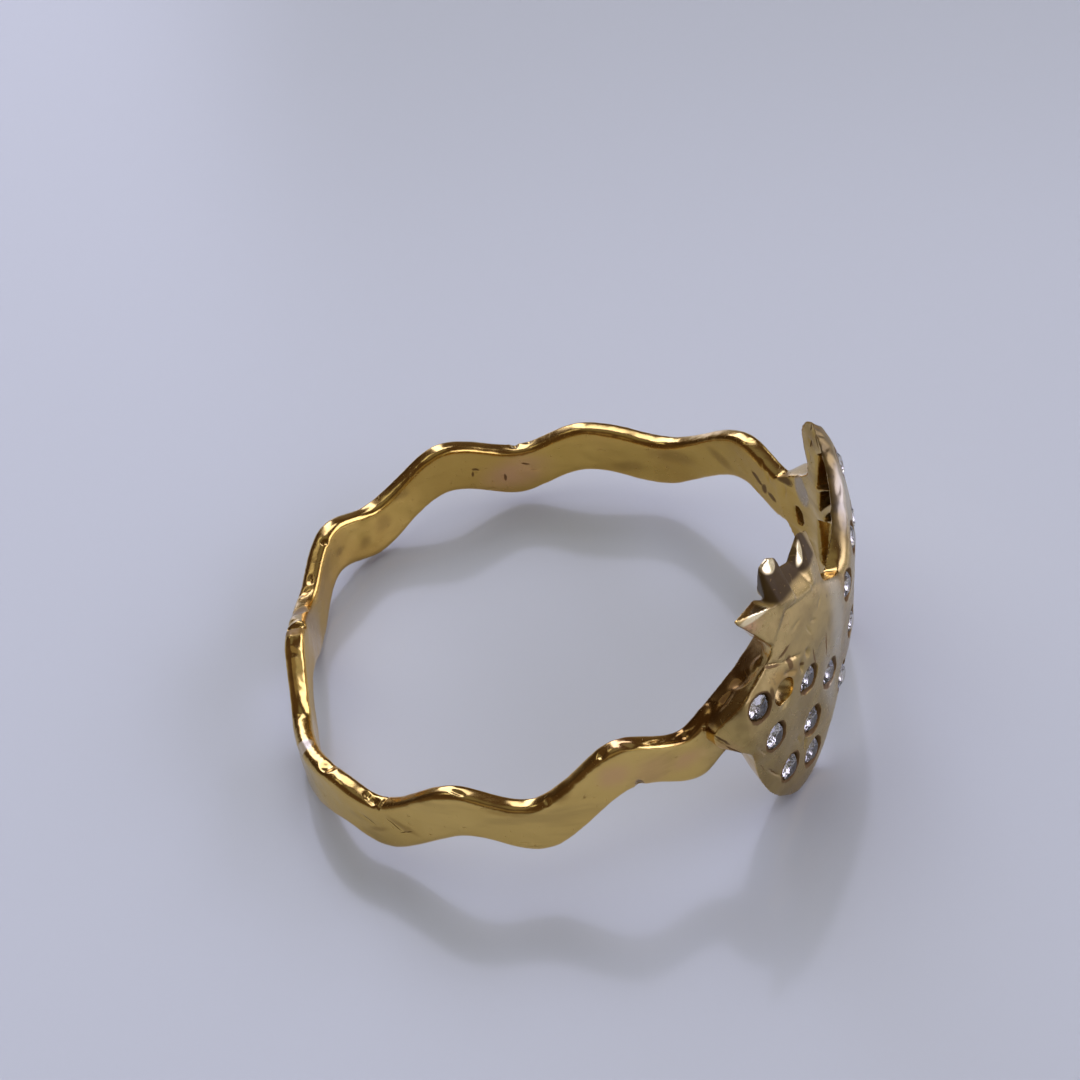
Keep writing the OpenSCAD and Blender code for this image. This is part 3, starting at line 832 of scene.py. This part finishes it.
def wear(me, fade=1.25, facing=1.6, reach=0.55):
    """Softens the whole metal as cast and worn: shallow waves all over, and the dents of the table.

    A dent fades out at fade times its size, and only moves what faces it and is within reach of it.
    """
    n = len(me.vertices)
    p, look = np.empty(n * 3), np.empty(n * 3)
    me.vertices.foreach_get("co", p)
    me.vertices.foreach_get("normal", look)
    p, look = p.reshape(-1, 3), look.reshape(-1, 3)
    moved = p + look * sum(height * ripple(p, wave, seed) for height, wave, seed in UNEVEN)[:, None]
    for a, r, w, face, long, wide, turn, deep in DENTS:
        radial, along, up = at(a, 1, 0), at(a + 90, 1, 0), np.array([0, 0, 1.0])
        x, y, out = (along, up, radial * face) if face else (along, radial, up)
        cos, sin = math.cos(math.radians(turn)), math.sin(math.radians(turn))
        x, y = x * cos + y * sin, y * cos - x * sin
        off = p - at(a, r, w)
        u, v, h = off @ x / long, off @ y / wide, off @ out
        away = np.sqrt(u * u + v * v)
        pull = (1 - ease(away / fade)) * np.clip(look @ out * facing, 0, 1) * (np.abs(h) < reach)
        moved -= out * (deep * pull)[:, None]
    me.vertices.foreach_set("co", moved.ravel())
    me.update()


def build_spikes():
    return [hulled(f"spike{i}", corners, BLOCK, SPIKE_SOFT) for i, corners in enumerate(SPIKES)]


def build_bars(under=0.15, deep=0.45):
    """Thin bars from their free edge outwards into the head's wall, always this far under its face."""
    bars = []
    for i, ends in enumerate(BARS):
        corners = [(a, min(r + d, float(face_at(a, w)) - under), w) for a, r, w in ends for d in (0, deep)]
        bars.append(hulled(f"bar{i}", corners, RIB_WALL))
    return bars


def cell_cutters(inner=8.3):
    """Cutters of the open cells, from inside the head's back to a thin floor behind its face."""
    cuts = []
    for i, cell in enumerate(CELLS):
        corners = [(a, r, w) for a, w in cell for r in (inner, float(face_at(a, w)) - CELL_FLOOR)]
        cuts.append(hulled(f"cell{i}", corners, BLOCK))
    return cuts


def pit_cutters(sides=10, half=1.0, deep=0.3):
    """Round cutters of the blind pits, with half their width in degrees and half their depth."""
    pits = []
    for i, (a, r, w, long) in enumerate(PITS):
        turns = [k * 2 * math.pi / sides for k in range(sides)]
        corners = [(a + half * math.cos(t), r + d, w + math.sin(t) * long / 2)
                   for d in (-deep, deep) for t in turns]
        pits.append(hulled(f"pit{i}", corners, PIT_BLOCK))
    return pits


def seat_cutters():
    cuts = []
    for i, (a, w, _, deep) in enumerate(STONES):
        cuts.append(seat_cutter(f"seat{i}", [(r, -deep if h is None else h) for r, h in SEAT], a, w))
    for i, (a, w) in enumerate(LOST):
        cuts.append(seat_cutter(f"lost{i}", LOST_SEAT, a, w))
    return cuts


def build_metal(metal):
    """Head, band, spikes and bars as one casting, worn all over before its stones are set."""
    body = build_head(metal)
    merge(body, [build_band(metal)] + build_spikes() + build_bars(), "UNION")
    merge(body, cell_cutters() + pit_cutters(), "DIFFERENCE")
    with_modifier(body, "REMESH", mode="VOXEL", voxel_size=GRAIN)
    with_modifier(body, "SMOOTH", factor=SMOOTH_SHARE, iterations=SMOOTH_TIMES)
    wear(body.data)
    with_modifier(body, "DECIMATE", ratio=KEPT_FACES)
    merge(body, seat_cutters(), "DIFFERENCE")
    body.name = body.data.name = "ring_metal"
    body.data.transform(LAID)
    body.data.shade_smooth()
    body.data.set_sharp_from_angle(angle=math.radians(SHARP_EDGE))
    body.data.materials.clear()
    body.data.materials.append(metal)
    return body


# stones

def cut_stone():
    """Round cut stone: table, star and main facets, girdle, pavilion, drawn with its girdle's radius 1."""
    bm = bmesh.new()
    for r, h, n, turn in CUT:
        for i in range(n):
            a = 2 * math.pi * (i + turn) / n
            bm.verts.new((r * math.cos(a), r * math.sin(a), h))
    bm.verts.new((0, 0, CUT_POINT))
    bmesh.ops.convex_hull(bm, input=bm.verts)
    bmesh.ops.dissolve_limit(bm, angle_limit=math.radians(1), verts=bm.verts, edges=bm.edges)
    bmesh.ops.recalc_face_normals(bm, faces=bm.faces)
    return bmesh_object("cut_stone", bm)


def build_stones(clear):
    """A cut stone in each seat, turned as its row says and sunk a little below the face."""
    places, turns = [], []
    for a, w, spin, _ in STONES:
        seat = LAID @ stand(a, w) @ Matrix.Rotation(math.radians(spin), 4, "Z")
        seat = seat @ Matrix.Translation((0, 0, -STONE_SINK))
        places.append(seat.translation)
        turns.append(seat.to_3x3().normalized().to_euler("XYZ"))
    ob = mesh_object("cut_stones", places, [])
    point_attribute(ob.data, "turn", "FLOAT_VECTOR", turns)
    stone = cut_stone()
    t = Tree("stones in their seats", [("Stone", "Object", stone), ("Size", "Float", STONE_D / 2 * MM),
                                       ("Clear", "Material", clear)])
    one = Wire.node("GeometryNodeObjectInfo", {"Object": t["Stone"]}, out="Geometry")
    spin = Wire.node("FunctionNodeEulerToRotation", {0: attribute("turn", "FLOAT_VECTOR")})
    put = Wire.node("GeometryNodeInstanceOnPoints", {"Points": t["Geometry"], "Instance": one,
                                                     "Rotation": spin, "Scale": t["Size"]})
    t.apply(put, t["Clear"], ob)
    bpy.data.objects.remove(stone)
    return ob


# materials

def mix(share, a, b):
    """From colour a to colour b by the share; the sockets' numbers are those of the node's colours."""
    a, b = (c if isinstance(c, Wire) else (*c, 1) for c in (a, b))
    return Wire.node("ShaderNodeMix", {0: share, 6: a, 7: b}, out=2, data_type="RGBA")


def noise(place, scale, detail, rough=0.5, out="Fac"):
    values = {"Vector": place, "Scale": scale, "Detail": detail, "Roughness": rough}
    return Wire.node("ShaderNodeTexNoise", values, out=out)


def streaks(place, turn, scales, detail, rough):
    """Noise that is stretched and turned."""
    drawn = Wire.node("ShaderNodeMapping", {"Vector": place, "Rotation": turn, "Scale": scales})
    return noise(drawn, 1.0, detail, rough)


def material(name, tint):
    """A new material, its shader, and the place on the piece."""
    made = bpy.data.materials.new(name)
    made.use_nodes = True
    made.diffuse_color = (*tint, 1)
    Wire.tree = made.node_tree
    Wire.tree.nodes.clear()
    shader = Wire.node("ShaderNodeBsdfPrincipled")
    Wire.node("ShaderNodeOutputMaterial", {"Surface": shader})
    return made, shader.socket.node, Wire.node("ShaderNodeTexCoord", out="Object")


def local_place(place, frame_at, size):
    """The place as it is seen from the frame of a mark, whose half sizes are 1 there."""
    return Wire.node("ShaderNodeMapping", {"Vector": place, "Location": frame_at.translation, "Scale": size,
                                           "Rotation": frame_at.to_3x3().normalized().to_euler("XYZ")},
                     vector_type="TEXTURE")


def closeness(local):
    """1 at the middle of a mark, 0 at its half size."""
    return Wire.node("ShaderNodeTexGradient", {"Vector": local}, out="Fac", gradient_type="SPHERICAL")


def spots(place, table, soft=0.75):
    """1 inside the marks of a table, 0 outside; drawn at twice their size, so the edge is at a half."""
    def near(a, r, w, along, radial, up, turn):
        mark = (LAID @ Matrix.Translation(Vector(at(a, r, w))) @ Matrix.Rotation(math.radians(a), 4, "Z")
                @ Matrix.Rotation(math.radians(turn), 4, "X"))
        return closeness(local_place(place, mark, [2 * v * MM for v in (radial, along, up)]))
    return most(near(*row) for row in table).between(soft * 0.475, 1 - soft / 2)


def seat_shade(place, long=8, outside=0.02, inside=0.05):
    """1 inside the dark rings of painted shade round the stones' seats, far along the seats' own axes, 0
    outside.
    """
    near = most(closeness(local_place(place, LAID @ stand(a, w), (MM, MM, long * MM)))
                for a, w, _, _ in STONES)
    return near.between(1 - SEAT_SHADE_REACH - outside, 1 - SEAT_SHADE_REACH + inside)


def ring_axes(place, normal):
    """Angle, radius and rise of a place in degrees and millimetres, and how far it looks outward and up."""
    def along(vector, axis):
        return Wire.node("ShaderNodeVectorMath", {0: vector, 1: axis}, out="Value", operation="DOT_PRODUCT")

    back = LAID.inverted()
    axes = [Vector(back[i][:3]) for i in range(3)]
    q = [along(place, axes[i]) + back[i][3] for i in range(3)]
    n = [along(normal, axis.normalized()) for axis in axes]
    r = Wire.maths("SQRT", q[0] * q[0] + q[1] * q[1])
    angle = Wire.maths("ARCTAN2", q[1], q[0]) * (180 / math.pi)
    return angle, r, q[2], (n[0] * q[0] + n[1] * q[1]) / r, n[2]


def worn_gold():
    """Yellow gold with brown grime and painted shade in its recesses, painted highlights and reflections, a
    duller worn face, stains and fine scratches.
    """
    made, shader, place = material("worn_gold", (0.83, 0.66, 0.32))
    cloud = noise(place, 420, 3)
    patch = noise(place, 190, 2)
    mottle = noise(place, 1500, 3)
    fine = noise(place, 5200, 4, 0.65)
    scratch_a = streaks(place, (0.3, 0.5, 0.9), (400, 9000, 9000), 2, 0.6)
    scratch_b = streaks(place, (1.1, 0.2, -0.6), (9000, 500, 9000), 2, 0.6)
    lines = most([scratch_a.between(0.66, 0.74), scratch_b.between(0.67, 0.75)])
    normal = Wire.node("ShaderNodeNewGeometry", out="Normal")
    angle, r, rise, outward_look, up_look = ring_axes(place, normal)
    astray = noise(place, 2600, 2, out="Color") - (0.5, 0.5, 0.5)
    ragged = place + astray * (0.16 * MM, 0.16 * MM, 0.16 * MM)

    # grime and painted shade in recesses, grime in stains, painted shade round the seats, then the head's
    # web in painted shade, the arm in a painted dark reflection, inside, face and far edge
    recess = Wire.node("ShaderNodeAmbientOcclusion", {"Distance": 0.45 * MM}, out="AO", samples=6,
                       only_local=True)
    # painted shade: brown where the occlusion node finds a recess, which stands for grime there as well
    dirt_and_shade = (1 - recess).between(0.3, 0.9)
    dirt_and_shade = most([dirt_and_shade, spots(ragged, DIRT) * 0.9])
    # painted shade: a dark ring round each seat on the outward faces, where the gap beside its stone lies in
    # shadow
    dirt_and_shade = most([dirt_and_shade, seat_shade(ragged) * outward_look.between(-0.3, 0.1)])
    head = angle.within(-62, -52, 16, 26)
    # painted highlights on the spikes, kept clear of the web's painted shade
    highlight = spots(place, PAINTED_HIGHLIGHTS)
    # painted shade: the web high between the spikes, tinted almost black and made duller and rougher
    above = (rise + (angle + 30) * 0.025).between(4.38, 4.6)
    web_shade = above * angle.within(-42, -40, -23, -21.5) * (1 - highlight)
    # painted dark reflection: the up-facing rim and band top at the head's near end, tinted brown as they
    # mirror the dark room
    arm_reflection = (1 - r.between(9.3, 9.6)) * angle.within(-66, -62, -38, -36) * up_look.between(0.2, 0.5)
    tone = mix(cloud.between(0.35, 0.7), YELLOW, DEEP_YELLOW)
    streak = streaks(place, (0.2, 0.1, 0.4), (260, 700, 1500), 3, 0.55)
    tone = mix(streak.between(0.52, 0.7) * 0.5, tone, BROWN_STREAK)
    inside = (1 - outward_look.between(-0.7, -0.2)) * (1 - head)
    tone = mix(inside * 0.6, tone, WARM_INSIDE)
    tone = mix(inside * noise(place, 330, 3, 0.6).between(0.42, 0.62) * 0.35, tone, CLOUDED_INSIDE)
    face = head * outward_look.between(0.3, 0.7)
    tone = mix(face * 0.7, tone, BRONZE_FACE)
    tone = mix(face * mottle.between(0.42, 0.65) * 0.4, tone, MOTTLED_FACE)
    edge_far = head * angle.between(-14, -9) * up_look.between(0.3, 0.5) * r.between(9.15, 9.4)
    tone = mix(edge_far * (0.6 + 0.35 * mottle.between(0.4, 0.6)), tone, WORN_EDGE)
    tone = mix(patch.between(0.58, 0.75) * 0.6 * (1 - face), tone, RED_PATCH)

    # stains, worn spots, painted reflections, shade and highlights, scratches, and grime with painted shade
    # over that
    tone = mix(spots(ragged, COPPER, 0.3) * (0.3 + 0.4 * cloud.between(0.35, 0.6)), tone, RED_STAIN)
    tone = mix(spots(ragged, PALE, 0.3) * 0.5, tone, PALE_STAIN)
    # painted reflections: pale, less metallic facets in place of the white they mirror
    glare = spots(ragged, PAINTED_GLARE)
    matt = spots(ragged, MATT)
    # painted reflection on the flat facets
    tone = mix(glare * 0.85, tone, GLARE_TINT)
    tone = mix(matt * 0.85, tone, MATT_SPOT)
    # painted dark reflection on the arm's rim
    tone = mix(arm_reflection * 0.75, tone, ARM_REFLECTION_TINT)
    # painted shade in the web between the spikes
    tone = mix(web_shade * 0.94, tone, WEB_SHADE_TINT)
    # painted highlights on the spike tops
    tone = mix(highlight * 0.8, tone, HIGHLIGHT_TINT)
    tone = mix(spots(ragged, SMUDGE, 0.4) * 0.6, tone, SMUDGED)
    dashes = streaks(place, (0.4, 1.1, 0.2), (900, 4200, 2600), 2, 0.5).between(0.68, 0.73)
    tone = mix(face * dashes * 0.6, tone, DASHED_FACE)
    tone = mix(lines * 0.35, tone, SCRATCHED)
    # grime and painted shade over everything
    tone = mix(dirt_and_shade * 0.88, tone, DIRT_AND_SHADE_BROWN)

    # gloss and fine relief
    rough = (0.13 + 0.1 * cloud.between(0.3, 0.75) + 0.16 * lines + 0.25 * dirt_and_shade + 0.1 * face + 0.2 * web_shade
             + 0.16 * edge_far + 0.2 * matt)
    dull = most([web_shade, dirt_and_shade * 0.9, glare * 0.5, matt * 0.6])
    height = fine * 0.25 + mottle - lines * 0.35
    edge = Wire.node("ShaderNodeBevel", {"Radius": 0.05 * MM}, samples=6)
    bump = Wire.node("ShaderNodeBump", {"Height": height, "Strength": 0.35, "Distance": 0.006 * MM,
                                        "Normal": edge})
    Wire.feed(shader, {"Base Color": tone, "Metallic": 1 - dull, "Roughness": rough,
                       "Specular IOR Level": 0.12, "Normal": bump})
    return made


def clear_stone():
    """Clear stone, faintly clouded and warm."""
    made, shader, place = material("clear_stone", (0.86, 0.88, 0.9))
    tone = mix(noise(place, 2600, 3).between(0.35, 0.7), WARM_STONE, GREY_STONE)
    rough = 0.01 + 0.04 * noise(place, 4200, 2).between(0.5, 0.8)
    bump = Wire.node("ShaderNodeBump", {"Height": noise(place, 1400, 1), "Strength": 0.05,
                                        "Distance": 0.002 * MM})
    Wire.feed(shader, {"Base Color": tone, "Roughness": rough, "Normal": bump, "IOR": 1.9,
                       "Transmission Weight": 1.0})
    return made


def pale_table():
    """Smooth pale table, with a little gloss."""
    made, shader, place = material("pale_table", (0.5, 0.52, 0.58))
    tone = mix(noise(place, 9, 2).between(0.3, 0.7), PALE_TABLE, COOL_TABLE)
    rough = 0.1 + 0.05 * noise(place, 60, 3)
    Wire.feed(shader, {"Base Color": tone, "Roughness": rough, "Specular IOR Level": 0.28})
    return made


# scene

def build_stage():
    h = TABLE_HALF
    ob = mesh_object("table", [(-h, -h, 0), (h, -h, 0), (h, h, 0), (-h, h, 0)], [(0, 1, 2, 3)])
    ob.data.materials.append(pale_table())


def build_light():
    """A wide soft light overhead that gloss doesn't show."""
    light = bpy.data.lights.new("overhead", "AREA")
    light.size = LIGHT_SIZE
    light.energy = LIGHT_POWER
    light.color = LIGHT_TONE
    ob = new_object("overhead", light)
    ob.location = LIGHT_PLACE
    ob.rotation_euler = (-Vector(LIGHT_PLACE)).to_track_quat("-Z", "Y").to_euler()
    ob.visible_glossy = False


def build_room():
    """Dim room with pale windows and darker patches."""
    room = bpy.data.worlds.new("room")
    room.use_nodes = True
    bpy.context.scene.world = room
    Wire.tree = room.node_tree
    Wire.tree.nodes.clear()
    x, y, z = split(Wire.node("ShaderNodeTexCoord", out="Generated"))
    turn = Wire.maths("ARCTAN2", y, x) * (180 / math.pi)
    rise = Wire.maths("ARCSINE", z) * (180 / math.pi)
    tone = mix(rise.between(-5, 25), ROOM_LOW, ROOM_MIDDLE)
    tone = mix(rise.between(60, 76), tone, ROOM_TOP)
    for left, right, low, high, soft, shade in PANES:
        pane = (turn.within(left, left + soft, right - soft, right)
                * rise.within(low, low + soft, high - soft, high))
        tone = mix(pane, tone, shade)
    Wire.node("ShaderNodeOutputWorld", {"Surface": Wire.node("ShaderNodeBackground", {"Color": tone})})


def build_camera():
    """Camera that is placed round the ring and then laid with it."""
    turn = (Matrix.Rotation(math.radians(VIEW_WAY + 90), 4, "Z")
            @ Matrix.Rotation(math.radians(90 - VIEW_RISE), 4, "X")
            @ Matrix.Rotation(math.radians(VIEW_ROLL), 4, "Z"))
    view = LAID @ Matrix.Translation(VIEW_AIM) @ turn @ Matrix.Translation((0, 0, VIEW_FAR))
    camera = bpy.data.cameras.new("camera")
    camera.sensor_width = FILM
    camera.lens = FOCAL / PICTURE * FILM
    camera.clip_start, camera.clip_end = VIEW_NEAR, VIEW_END
    ob = new_object("camera", camera)
    ob.matrix_world = Matrix.Translation(view.translation) @ view.to_3x3().normalized().to_4x4()
    bpy.context.scene.camera = ob


gold = worn_gold()
clear = clear_stone()

metal = build_metal(gold)
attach(metal, "root")
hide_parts("ring_body")

stones = build_stones(clear)
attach(stones, "root")
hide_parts(*[f"stone_{i + 1}" for i in range(len(STONES))])

build_stage()
build_room()
build_camera()
build_light()
bpy.context.scene.view_settings.view_transform = "Standard"
